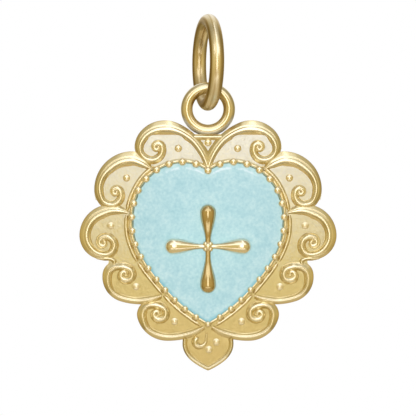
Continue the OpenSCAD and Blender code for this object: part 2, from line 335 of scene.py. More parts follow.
def ridge(points, sides, out, inn, rise, coil, closed=False, around=112, sunk=0.03, broad=0.0):
    """A raised ridge along points, as a mesh in the drawing plane."""
    line, count = bpy.data.meshes.new("line"), len(points)
    edges = [(i, i + 1) for i in range(count - 1)] + ([(count - 1, 0)] if closed else [])
    line.from_pydata([(x, y, 0.0) for x, y in points], edges, [])
    for name, values in (("place", points), ("aside", sides)):
        flat = np.column_stack([values, np.zeros(count)]).ravel()
        line.attributes.new(name, "FLOAT_VECTOR", "POINT").data.foreach_set("vector", flat)
    for name, values in dict(out=out, inn=inn, rise=rise, coil=coil, broad=broad).items():
        note(line, name, values)
    return grown(*RIDGE, line, around, sunk, POLISHED)


print("a ridge has 112 points round its section unless told otherwise")

# %% Helper for pieces


def piece(name, meshes, *nodes, body="pendant", slot="polished_gold", mirrored=False, flat=True):
    """One piece of the charm from meshes: set on the face if flat, joined, smooth, riding a body."""
    built, finishes = bmesh.new(), []
    for mesh in meshes:
        ready = len(built.faces)
        built.from_mesh(mesh)
        finish = [material for material in mesh.materials if material][0]
        if finish not in finishes:
            finishes.append(finish)
        built.faces.ensure_lookup_table()
        for face in built.faces[ready:]:
            face.material_index = finishes.index(finish)
        bpy.data.meshes.remove(mesh)
    if flat:
        for vertex in built.verts:
            x, y, h = vertex.co
            vertex.co = on_face(-x if mirrored else x, y, h)
    bmesh.ops.remove_doubles(built, verts=built.verts, dist=1e-8)
    bmesh.ops.recalc_face_normals(built, faces=built.faces)
    whole = bpy.data.meshes.new(name)
    built.to_mesh(whole)
    built.free()
    for finish in finishes:
        whole.materials.append(finish)
    whole.shade_smooth()
    made = bpy.data.objects.new(name, whole)
    bpy.context.scene.collection.objects.link(made)
    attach(made, body)
    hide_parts(*nodes)
    print(f"{name}: {len(whole.polygons)} faces")
    return made


print("pieces take their place from the face at", round(FACE, 3), "mm")

# %% [markdown]
# ## Lines made of arcs
# A goldsmith bends a scroll from wire in a few even curves. Bezier handles could draw it, but their
# bends are uneven and hard to measure. So a line is a start, a heading and a chain of arcs, each a
# radius in mm and a sweep in degrees. With each point comes the step that tells a ridge where out is.

# %% Walk along a chain of arcs
STEP, TIGHT = 0.06, 0.25        # a step in mm, and its largest share of the radius on a tight arc


def walk(start, heading, turn, arcs):
    """Points, outward steps and radii along a chain of arcs, about STEP apart."""
    points, sides, radii = [], [], []
    at, h = np.array(start, float), math.radians(heading)
    for radius, sweep in arcs:
        n = max(2, round(radius * math.radians(sweep) / min(STEP, TIGHT * radius)))
        centre = at + turn * radius * np.array([-math.sin(h), math.cos(h)])
        for a in h + turn * math.radians(sweep) * np.arange(n) / n:
            out = turn * np.array([math.sin(a), -math.cos(a)])
            points.append(centre + radius * out)
            sides.append(out)
            radii.append(radius)
        h += turn * math.radians(sweep)
        at = centre + turn * radius * np.array([math.sin(h), -math.cos(h)])
    points.append(at)
    sides.append(turn * np.array([math.sin(h), -math.cos(h)]))
    radii.append(radius)
    return np.array(points), np.array(sides), np.array(radii)


def smooth(values, reach):
    """Values along a line with their steps rounded off."""
    padded = np.pad(values, ((reach, reach),) + ((0, 0),) * (values.ndim - 1), mode="edge")
    kernel = np.hanning(2 * reach + 3)[1:-1]
    columns = padded.reshape(len(padded), -1).T
    rows = [np.convolve(column, kernel / kernel.sum(), "valid") for column in columns]
    return np.array(rows).T.reshape(values.shape)


print("a half circle of 1 mm has", len(walk((0, 0), 0, 1, [(1.0, 180)])[0]), "points")

# %% [markdown]
# ## The scrolls' lines
# Five scrolls lie on each side, one to a lobe: a rim along the lobe's edge that rolls into a coil.
# One scroll, copied and scaled, would be less work, but each is bent to its own lobe. So each has
# its own arcs, and the right side mirrors the left.

# %% Lines of the scrolls
# From the top down: start, heading, turn, then the arcs of the rim and those of the coil
SCROLLS = [
    ((-0.015, -2.24), 106, 1, [(20.0, 0.57), (4.02, 50), (1.78, 71), (1.40, 44)],
     [(0.80, 92), (0.74, 103), (0.33, 111), (0.22, 131)]),
    ((-3.94, -2.38), 134, 1, [(4.90, 15), (0.78, 33), (2.28, 104)],
     [(0.77, 68), (0.73, 132), (0.32, 94), (0.22, 131)]),
    ((-5.57, -5.41), 160, 1, [(3.72, 19), (1.80, 87), (1.33, 101)],
     [(0.63, 53), (0.60, 135), (0.40, 62), (0.24, 112)]),
    ((-3.29, -11.16), 200, -1, [(4.23, 38), (1.41, 80), (0.63, 79)],
     [(2.03, 24), (0.46, 73), (0.44, 128), (0.31, 109)]),
    ((-0.32, -13.34), 209, -1, [(5.10, 30), (1.80, 73), (0.63, 90)],
     [(1.25, 46), (0.46, 87), (0.43, 127), (0.23, 89)]),
]
RIM_OUTS = [0.45, 0.395, 0.395, 0.38, 0.37]     # from the line to the lobe's edge
lengths = [sum(r * math.radians(a) for r, a in rim + coil) for *_, rim, coil in SCROLLS]
print("lengths of the scrolls in mm:", np.round(lengths, 1))

# %% [markdown]
# ## Widths and heights along a scroll
# A chased rim isn't even: its crest wanders, and its inner slope is steep here and long there. A
# noise could vary it, but both sides of the charm swell in the same places. So each scroll lists how
# far its crest moves out and how far its inner slope runs, from 0 at its start to 1 at the coil.

# %% Widths and heights of the scrolls
CREST_SHIFTS = [
    [(0.2, 0), (0.32, 0.02), (0.47, -0.06), (0.63, -0.17), (0.79, -0.08), (0.87, -0.01), (0.95, 0.06),
     (1.05, 0.02), (1.2, -0.03)],
    [(0, 0), (0.08, -0.07), (0.24, -0.27), (0.41, -0.18), (0.57, -0.14), (0.73, 0), (0.85, 0.05),
     (0.98, -0.03), (1.1, -0.12), (1.25, -0.13), (1.4, -0.05)],
    [(0, 0), (0.15, -0.03), (0.30, -0.16), (0.45, -0.11), (0.75, -0.09), (0.9, 0), (1.0, 0.02),
     (1.1, 0)],
    [(0, 0), (0.15, 0.05), (0.29, 0.13), (0.66, 0.11), (0.75, 0.02), (0.88, -0.06), (0.96, -0.11),
     (1.06, -0.02)],
    [(0, 0), (0.16, 0.07), (0.40, 0.09), (0.5, 0.05), (0.72, 0.12), (0.80, 0), (0.88, -0.05),
     (0.96, 0)],
]
LOWER_SLOPE = [(0, 0.12), (0.2, 0.25), (0.6, 0.25), (0.8, 0.28), (1, 0.28)]
SLOPES = [
    [(0, 0.20), (0.3, 0.25), (0.5, 0.42), (0.63, 0.42), (0.8, 0.35), (1, 0.26)],
    [(0, 0.25), (0.15, 0.30), (0.33, 0.43), (0.6, 0.36), (0.8, 0.30), (1, 0.26)],
    [(0, 0.20), (0.3, 0.38), (0.5, 0.33), (0.8, 0.28), (1, 0.26)],
    LOWER_SLOPE, LOWER_SLOPE,
]
START_WIDTHS = [1.0, 0.35, 0.35, 0.6, 0.6]      # share of the full width where a rim starts
START_RISE, START_RUN = 0.20, 0.12              # height at the start, and share of the rim it takes
RIM_RISES = [0.27, 0.27, 0.25, 0.21, 0.21]
COIL_RISE, COIL_HALF, COIL_FLARE = 0.23, 0.29, 0.06
EYE_RISE, EYE_HALF, EYE_ROUND, EYE_ARC = 0.13, 0.13, 0.12, (0.15, 180)
INSIDE_BEND = 0.85                              # a ridge's inner half, at most this share of a bend
LEDGE_Y = 0.07                                  # straight ledge under the top lobes' rims
print("rims", RIM_RISES, "mm high, coils", COIL_RISE, "mm")

# %% [markdown]
# ## The scrolls
# A scroll starts thin at the bezel, widens into its rim, rolls into the coil and ends in a round
# eye. Made in three parts, it would show its joints in the highlights, so it is one ridge whose
# widths, height and section blend from part to part.

# %% Scrolls


def scroll_mesh(n):
    """One scroll of the left side, counted from the top."""
    start, heading, turn, rim_arcs, coil_arcs = SCROLLS[n]
    points, sides, radii = walk(start, heading, turn, rim_arcs + coil_arcs + [EYE_ARC])
    count, rim_count = len(points), len(walk(start, heading, turn, rim_arcs)[0])
    along = np.arange(count) / rim_count            # 0 to 1 on the rim, then on into the coil
    inward = np.clip((np.arange(count) - rim_count) / (count - rim_count), 0, 1)    # in the coil
    on_coil = smooth((along > 1).astype(float), 16)
    shift = smooth(np.interp(along, *zip(*CREST_SHIFTS[n])), 6)
    crest = points + sides * shift[:, None]
    slope = np.interp(along, *zip(*SLOPES[n]))
    if n == 0:      # the inner slope of the top lobes ends on the ledge
        to_ledge = (crest[:, 1] - LEDGE_Y) / np.maximum(sides[:, 1], 0.3)
        at_top = (along > 0.40) & (along < 0.85)
        slope = smooth(np.where(at_top, np.clip(to_ledge, 0.2, 0.5), slope), 5)
    steps = np.linalg.norm(np.diff(points, axis=0), axis=1)
    to_end = np.append(np.cumsum(steps[::-1])[::-1], 0)
    rounded = np.sqrt(1 - np.clip(1 - to_end / EYE_ROUND, 0, 0.98) ** 2)
    halves = [RIM_OUTS[n] / 2, COIL_HALF, COIL_HALF * 0.9, EYE_HALF]
    half = np.interp(inward, [0, 0.1, 0.6, 1], halves) * rounded
    taper = np.interp(along, [0, START_RUN], [START_WIDTHS[n], 1.0])
    rim_out, coil_out = (RIM_OUTS[n] - shift) * taper, half + COIL_FLARE * (1 - inward)
    out = rim_out * (1 - on_coil) + coil_out * on_coil
    inn = slope * taper * (1 - on_coil) + np.minimum(half, INSIDE_BEND * radii) * on_coil
    rim_rise = np.interp(along, [0, START_RUN, 1], [START_RISE, RIM_RISES[n], RIM_RISES[n]])
    coil_rise = np.interp(inward, [0, 0.4, 1], [COIL_RISE, COIL_RISE, EYE_RISE])
    rise = rim_rise * (1 - on_coil) + coil_rise * on_coil * rounded
    coil = on_coil * (1 + 0.8 * np.clip((inward - 0.3) / 0.4, 0, 1))    # ends nearly as a wire
    widths = [smooth(values, 2) for values in (out, inn, rise)]
    return ridge(crest, sides, *widths, coil, broad=float(n > 2))


for n in range(5):
    for side in ("left", "right"):
        name = f"scroll_{side}_{n + 1}"
        piece("gilt_" + name, [scroll_mesh(n)], name, mirrored=side == "right")

# %% [markdown]
# ## The heart's line
# Bezel, beads, border wires and inlay follow one heart. It could be traced point by point, but a
# chain of arcs stays fair and can be drawn in or out by any distance. The left half runs from the
# notch to the tip, and the right half mirrors it.

# %% Heart line
HEART = ((0, -2.44), 142, 1, [(2.85, 50), (3.59, 57), (5.21, 51), (12.3, 31)])


def left_of_axis(points, sides):
    """The part of a line on the left of the charm's axis, ended on the axis where it crosses."""
    over = np.nonzero(points[:, 0] > -1e-6)[0]
    over = over[over > 0]
    if not len(over):
        return points, sides
    last = over[0]
    a, b = points[last - 1], points[last]
    share = a[0] / (a[0] - b[0])
    tip = a + (b - a) * share
    return np.vstack([points[:last], [(0.0, tip[1])]]), np.vstack([sides[:last], [(0.0, -1.0)]])


def both_halves(half, closed=True):
    """A left half and its mirror image; a closed line doesn't come back to its first point."""
    return np.vstack([half, half[-2:0 if closed else None:-1] * (-1, 1)])


half_points, half_sides = left_of_axis(*walk(*HEART)[:2])
heart_points, heart_sides = both_halves(half_points), both_halves(half_sides)
heart_sides[0] = (0, 1)
steps = np.linalg.norm(np.diff(heart_points, axis=0), axis=1)
gone = np.concatenate([[0], np.cumsum(steps)])
lap = gone[-1] + np.linalg.norm(heart_points[-1] - heart_points[0])
down = np.minimum(gone, lap - gone) / (lap / 2)     # 0 at the notch, 1 at the tip
print("heart line:", len(heart_points), "points,", round(lap, 2), "mm round")

# %% [markdown]
# ## The bezel
# A wall of gold with a row of beads holds the stone; between two beads it shows as a short bar. An
# even wall would bury the beads' feet in one line, so it is a closed ridge that dips at each bead.
# Its place and width change from lobe to lobe, and it stops short of its own mirror image.

# %% Bezel
STATIONS = [0.13, 0.32, 0.51, 0.73, 0.88]           # beside each lobe, from the top
BEAD_COUNT, BAR_RISE, BAR_LOW = 36, 0.21, 0.15
DIP_OVER, DIP_RUN = 0.08, 0.07                      # how far a dip ends inside a bead, and its slope
BAR_SECTION = 1.4                                   # between a coil and a wire
bar_off = np.interp(down, STATIONS, [0.10, 0.16, 0.11, -0.03, 0.02])
bar_in = np.interp(down, STATIONS, [0.25, 0.26, 0.22, 0.20, 0.24])
bar_edge = np.interp(down, STATIONS, [0.15, 0.10, 0.10, 0.10, 0.10])
bead_r = np.interp(down, [0.3, 0.6, 1.0], [0.285, 0.25, 0.225])
to_bead = np.abs((gone / lap * BEAD_COUNT + 0.5) % 1 - 0.5) * lap / BEAD_COUNT
bar_top = np.interp(down, [0.4, 0.7], [BAR_RISE, 0.8 * BAR_RISE])
between = np.clip((to_bead - bead_r + DIP_OVER) / DIP_RUN, 0, 1)
bar_rise = BAR_LOW + (bar_top - BAR_LOW) * between
to_axis = np.abs(heart_points[:, 0]) / np.maximum(np.abs(heart_sides[:, 0]), 1e-3)
pointed_in = heart_points[:, 1] < HUB[1]
bar_in = np.where(pointed_in & (to_axis > 0), np.minimum(bar_in, to_axis + bar_off), bar_in)
bar_off = np.where(pointed_in, bar_off, np.minimum(bar_off, 0.5 * to_axis))
bar_out = np.where(~pointed_in & (to_axis > 0), np.minimum(bar_edge, 0.5 * to_axis), bar_edge)
bezel = ridge(heart_points + heart_sides * bar_off[:, None], heart_sides, bar_out, bar_in, bar_rise,
              BAR_SECTION, closed=True, around=80, sunk=0.12)
piece("gilt_heart_bezel", [bezel], "heart_bezel")

# %% [markdown]
# ## Beads
# Grains of gold are melted round on charcoal and soldered on. A ball could be added for each, but
# that makes an object for every grain. So a tree puts a ball on each point of a base mesh, at the
# size that the point carries, and can flatten them all.

# %% Bead tree


def bead_tree():
    """The tree that puts a ball on every point."""
    shape, put, given = new_shape(
        "beads_on_points", Faces_round_a_bead="Int", Thickness="Float", Finish="Material")
    ball = put("MeshUVSphere", {
        "Segments": given["Faces round a bead"], "Rings": 20, "Radius": 1.0})
    toned = put("StoreNamedAttribute", {
        "Geometry": ball, "Name": "height", "Value": 0.8}, data_type="FLOAT", domain="POINT")
    size = put("InputNamedAttribute", {"Name": "size"}, data_type="FLOAT")
    thick = put("Math", [size, given["Thickness"]], operation="MULTIPLY")
    scale = put("CombineXYZ", {"X": size, "Y": size, "Z": thick})
    placed = put("InstanceOnPoints", {
        "Points": given["Geometry"], "Instance": toned, "Scale": scale})
    end_shape(put, placed, given)
    return shape


BEAD = bead_tree()
print("bead tree:", len(BEAD[0].nodes), "nodes")

# %% Helper for beads


def beads(places, radii, finish, thickness=1.0, around=32):
    """Balls at places (x, y, height), of one radius or one each, as a mesh in the drawing plane."""
    mesh = bpy.data.meshes.new("places")
    mesh.from_pydata([tuple(place) for place in places], [], [])
    note(mesh, "size", radii)
    return grown(*BEAD, mesh, around, thickness, finish)


print("a bead has 32 faces round it")

# %% [markdown]
# ## Beads along the bezel
# A bead sits at the notch, one at the tip and the rest at even steps between. An Array on a curve
# would space them too, but at one size. These get smaller towards the tip, as on the charm, and are
# flattened a little, as set grains are.

# %% Bezel beads
# To the eye: a sharper mirror than the rims, so each bead holds one small bright spot
BEADS = gilt("burnished_gilding_beads", "#E6DAB6", "#F4ECDA", 0.17, 0.03)
BEAD_LIFT, BEAD_THICK = 0.25, 0.75
bead_off = np.interp(down, STATIONS, [0.0, 0.05, 0.03, -0.03, 0.02])
bead_line = heart_points + heart_sides * bead_off[:, None]
at_bead = lap * np.arange(BEAD_COUNT) / BEAD_COUNT
bead_x, bead_y = [np.interp(at_bead, gone, bead_line[:, i], period=lap) for i in (0, 1)]
bead_sizes = np.interp(at_bead, gone, bead_r, period=lap)
bead_places = [(x, y, BEAD_LIFT) for x, y in zip(bead_x, bead_y)]
bezel_beads = beads(bead_places, bead_sizes, BEADS, BEAD_THICK)
piece("gilt_bezel_grains", [bezel_beads], "bezel_grains", slot="bright_gold")

# %% [markdown]
# ## Dots on the fields
# A grain sits in each lobe, one at the top and two on the tail leaf. Whole balls would stand too
# high, as these are low domes: large balls, sunk until a disc of the right width is left. The lower
# ones are flatter and duller.

# %% Field dots
# To the eye: satin, so the flat dots show a soft pale patch in place of a spot
DOTS = gilt("satin_gilding_dots", "#E6DAB6", "#F4ECDA", 0.30, 0.04)
DOT_HALF, DOT_ROUND, DOT_FLAT, FLAT_BELOW = 0.262, 0.36, 0.48, -5
lobe_dots = [(-2.08, -0.88), (-5.70, -2.95), (-6.81, -6.28), (-5.04, -10.56), (-2.35, -13.00)]
middle_dots = [(0, -0.47), (0.58, -14.44), (0.06, -14.97)]
dots = lobe_dots + [(-x, y) for x, y in lobe_dots] + middle_dots


def sunk_dots(places, radius, finish):
    """Domes of one width: balls of a radius, sunk in the face."""
    depth = math.sqrt(radius ** 2 - DOT_HALF ** 2)
    return beads([(x, y, -depth) for x, y in places], radius, finish)


upper_dots = sunk_dots([dot for dot in dots if dot[1] > FLAT_BELOW], DOT_ROUND, BEADS)
lower_dots = sunk_dots([dot for dot in dots if dot[1] <= FLAT_BELOW], DOT_FLAT, DOTS)
piece("gilt_field_grains", [upper_dots, lower_dots], "field_grains", slot="bright_gold")

# %% [markdown]
# ## Border wires
# A fine wire beside the bezel closes the field of each lobe but the topmost. One long wire round the
# heart would be simpler, but each has its own distance from the heart's line and fades at its ends.
# So each is a short ridge over a span of directions, seen from the heart's middle.

# %% Border wires
BORDER_IN, BORDER_OUT, BORDER_RISE = 0.21, 0.13, 0.11
BORDER_SPANS = [(124, 155.5), (157.5, 191), (191.5, 227.5), (228, 266.5)]     # in degrees


def pair(line, aside, *shape, **options):
    """A ridge on the left and its mirror image on the right."""
    return [ridge(line * (flip, 1), aside * (flip, 1), *shape, **options) for flip in (1, -1)]


border_off = np.interp(down[:len(half_points)], STATIONS[1:], [0.38, 0.48, 0.33, 0.37])
border_line = half_points + border_off[:, None] * half_sides
direction = np.degrees(np.arctan2(*(half_points - HUB).T[::-1])) % 360
borders = []
for low, high in BORDER_SPANS:
    picked = (direction >= low) & (direction <= high)
    fade = np.interp(np.linspace(0, 1, picked.sum()), [0, 0.08, 0.92, 1], [0.5, 1, 1, 0.5])
    borders += pair(border_line[picked], half_sides[picked], BORDER_OUT * fade, BORDER_IN * fade,
                    BORDER_RISE * fade, 1.0, around=24, sunk=0.12)
piece("gilt_border_wires", borders, "border_wires")

# %% [markdown]
# ## Tail leaf
# A pointed leaf hangs below the heart, with a low rim and a small curl. They could be cut into the
# plate, but as ridges they take the scrolls' finish and highlights. The rim has the lower scrolls'
# section, and the curl swells towards its rolled end.

# %% Tail rim
TAIL = ((-1.65, -14.16), 253, 1, [(1.29, 46), (1.85, 24), (5.18, 26)])
TAIL_IN_BY, TAIL_OUT, TAIL_IN, TAIL_RISE = 0.05, 0.13, 0.20, 0.14
tail_points, tail_sides = left_of_axis(*walk(*TAIL)[:2])
tail_line, tail_aside = [both_halves(half, closed=False) for half in (tail_points, tail_sides)]
tail_crest = tail_line - TAIL_IN_BY * tail_aside
tail_rim = ridge(tail_crest, tail_aside, TAIL_OUT, TAIL_IN, TAIL_RISE, 0.0, around=64, broad=1.0)
piece("gilt_tail_rim", [tail_rim], "tail_rim")

# %% Tail curl
CURL = ((-0.12, -13.75), 270, -1, [(7, 5), (0.42, 88), (0.33, 80), (0.20, 110)])
CURL_HALF, CURL_RISE, CURL_SECTION = 0.2, 0.15, 1.6
CURL_SWELL = [0, 0.35, 0.6, 0.85, 0.95, 1], [0.3, 0.55, 1.15, 1.35, 1.2, 0.6]
curl_points, curl_sides, curl_radii = walk(*CURL)
swell = np.interp(np.linspace(0, 1, len(curl_points)), *CURL_SWELL)
curl_in = smooth(np.minimum(CURL_HALF, INSIDE_BEND * curl_radii) * swell, 5)
curl_out, curl_rise = CURL_HALF * swell, CURL_RISE * swell
curl = ridge(curl_points, curl_sides, curl_out, curl_in, curl_rise, CURL_SECTION, around=40)
piece("gilt_tail_curl", [curl], "tail_curl")

# %% [markdown]
# ## The plate's outline
# The plate ends at the edges of the lobes, the tail and the web between them. Boolean modifiers
# could join these, but overlapping edges make them fragile. Seen from the heart's middle, every
# direction meets the edge once, so rays are sent out and each keeps its farthest crossing.

# %% Edges of the plate
COIL_EDGE, TAIL_EDGE, WEB = 0.15, 0.08, 1.75    # out from the lines of the coils, tail and heart
NOTCH_FILL = [(-7.1, -8.2), (-6.95, -8.84), (-7.1, -9.2)]
TOP_EDGE = [(-1.25, 0.12), (0.0, 0.12)]


def edges_of_plate():
    """Lines that bound the left half of the plate."""
    lines = []
    for rim_out, (start, heading, turn, rim_arcs, coil_arcs) in zip(RIM_OUTS, SCROLLS):
        rim_count = len(walk(start, heading, turn, rim_arcs)[0])
        half_coil = [coil_arcs[0], (coil_arcs[1][0], coil_arcs[1][1] / 2)]
        points, sides, _ = walk(start, heading, turn, rim_arcs + half_coil)
        width = np.where(np.arange(len(points)) < rim_count, rim_out, COIL_EDGE)
        lines.append(points + sides * width[:, None])
    lines += [tail_points + TAIL_EDGE * tail_sides, half_points + WEB * half_sides]
    return lines + [np.array(NOTCH_FILL), np.array(TOP_EDGE)]


plate_edges = edges_of_plate()
print("plate's edges:", len(plate_edges), "lines")

# %% Rays to the outline
RAYS = 1440
angles = np.radians(90 + 180 * (np.arange(RAYS // 2 + 1)) / (RAYS // 2))
aims = np.column_stack([np.cos(angles), np.sin(angles)])
aim_x, aim_y = aims[:, None, 0], aims[:, None, 1]
farthest = np.zeros(len(angles))
for line in plate_edges:
    (x, y), (dx, dy) = (line[:-1] - HUB).T, ((line[1:] - HUB) - (line[:-1] - HUB)).T
    apart = aim_x * dy - aim_y * dx
    apart = np.where(np.abs(apart) < 1e-12, 1e-12, apart)
    distance = (x * dy - y * dx) / apart
    share = (x * aim_y - y * aim_x) / apart
    hit = (share >= -1e-9) & (share <= 1 + 1e-9) & (distance > 0)
    farthest = np.maximum(farthest, np.where(hit, distance, 0).max(axis=1))
outline = both_halves(HUB + aims * farthest[:, None])
print("plate outline:", len(outline), "points,", np.round(np.ptp(outline, axis=0), 2), "mm")

# %% [markdown]
# ## Gilding, matted
# Between the scrolls the plate is matted with a fine punch, so it stays soft and pale. Modelled dents
# would be thousands of facets too small to see, so a rough metal has a grain in its colour, bump and
# roughness. Its colour is painted paler and cooler towards the top, as painted light from above.

# %% Matted gilding


def matted(name):
    """Matted gilding: a fine grain, and paler, cooler painted light towards the top of the charm."""
    material, put = blank(name)
    # Punch marks are under 0.1 mm and too fine to show, so their grain is drawn at 0.16 mm
    dent, cloud = 0.16 * MM, 2.5 * MM
    place = put("TexCoord").outputs["Object"]
    grain = put("TexNoise", {"Vector": place, "Scale": 1 / dent, "Detail": 2.0})
    clouds = put("TexNoise", {"Vector": place, "Scale": 1 / cloud, "Detail": 2.0})
    # Painted light: the colour turns paler and cooler towards the top, as if lit from above
    height = put("SeparateXYZ", {"Vector": place}).outputs["Z"]
    up = put("MapRange", [height, -20.0 * MM, -5.5 * MM])
    tone = put("Math", [grain, 0.44, up], operation="MULTIPLY_ADD")
    clouded = put("Math", [clouds, 0.16, tone], operation="MULTIPLY_ADD")
    level = put("Math", [clouded, 0.30], operation="SUBTRACT")
    colour = put("ValToRGB", {"Fac": level}, stops=[
        (0.0, "#CEBC8A"), (0.35, "#CFC293"), (0.65, "#D8D3C0"), (1.0, "#DDDFE4")])
    bump = put("Bump", {"Height": grain, "Strength": 0.35, "Distance": 0.05 * MM})
    rough = put("MapRange", [grain, 0.3, 0.7, 0.36, 0.48])
    shader = put("BsdfPrincipled", {
        "Base Color": colour, "Roughness": rough, "Normal": bump, "Metallic": 1.0})
    put("OutputMaterial", {"Surface": shader})
    return material


# To the eye: a quiet, sandy ground that lets the bright relief stand out
MATTED = matted("matted_gilding")
print("finish:", MATTED.name)

# %% [markdown]
# ## The plate's body
# A flat back with a softened edge, a straight wall, and a front with a pocket for the stone. A Bevel
# modifier would tangle in the notches of so fine an outline. So rings of points are laid from front
# to back, strips of faces join them, and the flat faces are filled from their outlines.

# %% Helpers for solids


def heart_inside(gap):
    """The heart's outline drawn in by a gap, as a closed ring of points."""
    inside, _ = left_of_axis(half_points - gap * half_sides, half_sides)
    return np.vstack([[(0.0, half_points[0, 1] - gap)], both_halves(inside, closed=False)])


def band(a, b, count):
    """Faces between two rings of points that start at a and at b in a mesh's list."""
    return [(a + j, a + (j + 1) % count, b + (j + 1) % count, b + j) for j in range(count)]


def solid(vertices, faces, finish, **notes):
    """A mesh from points and faces, with a finish and named values on its points."""
    mesh = bpy.data.meshes.new("solid")
    mesh.from_pydata(vertices, [], faces)
    for name, values in notes.items():
        note(mesh, name, values)
    mesh.materials.append(finish)
    return mesh


print("heart drawn in by 0.1 mm:", len(heart_inside(0.1)), "points")

# %% Plate body
PLATE_T, BACK_ROUND, POCKET, POCKET_GAP = -2 * FACE, 0.14, 0.30, 0.16


def plate_mesh():
    """The plate: wall, softened back edge, pocket, and the flat faces."""
    tangent = np.roll(outline, -1, axis=0) - np.roll(outline, 1, axis=0)
    across = np.column_stack([-tangent[:, 1], tangent[:, 0]])
    inward = smooth(across / np.linalg.norm(tangent, axis=1)[:, None], 2)
    pocket = heart_inside(POCKET_GAP)
    loops = [(outline, 0.0)]
    for turn in np.radians([0, 22.5, 45, 67.5, 90]):
        loops.append((outline + inward * BACK_ROUND * (1 - math.cos(turn)),
                      -PLATE_T + BACK_ROUND * (1 - math.sin(turn))))
    loops += [(pocket, 0.0), (pocket, -POCKET)]
    vertices, runs, faces = [], [], []
    for points, h in loops:
        runs.append(range(len(vertices), len(vertices) + len(points)))
        vertices += [(x, y, h) for x, y in points]
    for a, b in [(0, 1), (1, 2), (2, 3), (3, 4), (4, 5), (6, 7)]:
        faces += band(runs[a][0], runs[b][0], len(runs[a]))
    rings = [runs[0], runs[6]]
    front = [i for ring in rings for i in ring]
    filled = tessellate_polygon([[Vector(vertices[i]) for i in ring] for ring in rings])
    faces += [tuple(front[i] for i in face) for face in filled]
    return solid(vertices, faces + [tuple(runs[5]), tuple(runs[7])], MATTED)


plate = piece("matted_back_plate", [plate_mesh()], "back_plate", slot="satin_gold")
plate.data.shade_flat()

# %% [markdown]
# ## Top bar and hooks
# A bar of solder crosses the plate under the loop, and a small raised hook lies in the notch between
# the third and the fourth lobe of each side. A bump in the finish could show them, but each has its
# own highlight, so they are fine ridges. They stand for no solid.

# %% Top bar
BAR_HALF, BAR_Y, BAR_UP, BAR_DOWN, BAR_HIGH, BAR_POINTS = 0.95, -0.06, 0.18, 0.24, 0.20, 40
bar_line = np.array([(x, BAR_Y) for x in np.linspace(-BAR_HALF, BAR_HALF, BAR_POINTS)])
bar_aside = np.tile((0.0, 1.0), (BAR_POINTS, 1))
bar = ridge(bar_line, bar_aside, BAR_UP, BAR_DOWN, BAR_HIGH, 1.0, around=32)
piece("gilt_top_bar", [bar])

# %% Hooks
HOOK = np.array([(-7.84, -8.56), (-7.28, -8.58), (-6.86, -8.58), (-6.58, -8.70), (-6.54, -8.91),
                 (-6.72, -9.05)])
HOOK_HALF, HOOK_RISE, HOOK_POINTS = 0.16, 0.14, 40
along = np.linspace(0, len(HOOK) - 1, HOOK_POINTS)
bent = np.column_stack([np.interp(along, range(len(HOOK)), HOOK[:, i]) for i in (0, 1)])
hook_line = smooth(bent, 3)
step = np.gradient(hook_line, axis=0)
hook_aside = np.column_stack([-step[:, 1], step[:, 0]]) / np.linalg.norm(step, axis=1)[:, None]
fade = np.interp(np.linspace(0, 1, HOOK_POINTS), [0, 0.2, 0.85, 1], [0.4, 1, 1, 0.5])
half, rise = HOOK_HALF * fade, HOOK_RISE * fade
hooks = pair(hook_line, hook_aside, half, half, rise, 1.0, around=24)
piece("gilt_lobe_hooks", hooks)

# %% [markdown]
# ## Turquoise
# The heart is a pale, cloudy, polished turquoise. A photograph of a stone would fix one size and one
# light, so noise makes its clouds and grain. Deep teal is painted shade where it runs down to the
# lower bezel, a pale broken line on its shoulder under the upper beads is a painted highlight, and
# painted light makes the body a little paler near the edge. All depend on the distance from the
# bezel, which the inlay carries as an attribute.

# %% Polished turquoise


def turquoise(name):
    """Pale mottled turquoise with a gloss, painted shade low along the bezel, painted highlight on
    the upper shoulder.
    """
    material, put = blank(name)
    cloud, speck = 0.9 * MM, 0.2 * MM    # as in the stone, and large enough to show
    place = put("TexCoord").outputs["Object"]
    up = put("SeparateXYZ", {"Vector": place}).outputs["Z"]
    edge = put("Attribute", attribute_name="edge").outputs["Fac"]
    clouds = put("TexNoise", {"Vector": place, "Scale": 1 / cloud, "Detail": 5.0, "Roughness": 0.7})
    grain = put("TexNoise", {"Vector": place, "Scale": 1 / speck, "Detail": 2.0})
    # The body: clouds and grain, and painted light that makes it a little paler near the edge
    mottle = put("Math", [grain, 0.8, clouds], operation="MULTIPLY_ADD")
    rim = put("MapRange", [edge, 0.0, 0.8, 0.12, 0.0])
    tone_with_painted_light = put("Math", [mottle, rim], operation="ADD")
    spread = put("MapRange", [tone_with_painted_light, 0.6, 1.2])
    body = put("ValToRGB", {"Fac": spread}, stops=[
        (0.0, "#A3CDD0"), (0.5, "#B7D9D9"), (1.0, "#CCE5E2")])
    # Painted shade: deep teal close to the bezel, lower down
    near = put("MapRange", [edge, 0.03, 0.2, 1.0, 0.0])
    low = put("MapRange", [up, -12.5 * MM, -15.0 * MM, 0.0, 0.6])
    deep = put("Math", [near, low], operation="MULTIPLY")
    teal = put("Mix", {"Factor": deep, "A": body, "B": linear("#5FB4C4")}, data_type="RGBA")
    # Painted highlight: a pale line on the upper shoulder, broken by the clouds
    shoulder = put("ValToRGB", {"Fac": edge}, stops=[
        (0.18, "#000000"), (0.28, "#FFFFFF"), (0.38, "#000000")])
    broken = put("MapRange", [clouds, 0.42, 0.56])
    high = put("MapRange", [up, -8.1 * MM, -7.7 * MM, 0.0, 0.9])
    upper = put("Math", [broken, high], operation="MULTIPLY")
    painted_highlight = put("Math", [shoulder, upper], operation="MULTIPLY")
    colour = put("Mix", {"Factor": painted_highlight, "A": teal, "B": linear("#EEF8F8")}, data_type="RGBA")
    bump = put("Bump", {"Height": clouds, "Strength": 0.05, "Distance": 0.05 * MM})
    rough = put("MapRange", [grain, 0.3, 0.7, 0.28, 0.36])
    shader = put("BsdfPrincipled", {
        "Base Color": colour, "Roughness": rough, "Normal": bump, "IOR": 1.55,
        "Specular IOR Level": 0.4})
    put("OutputMaterial", {"Surface": shader})
    return material


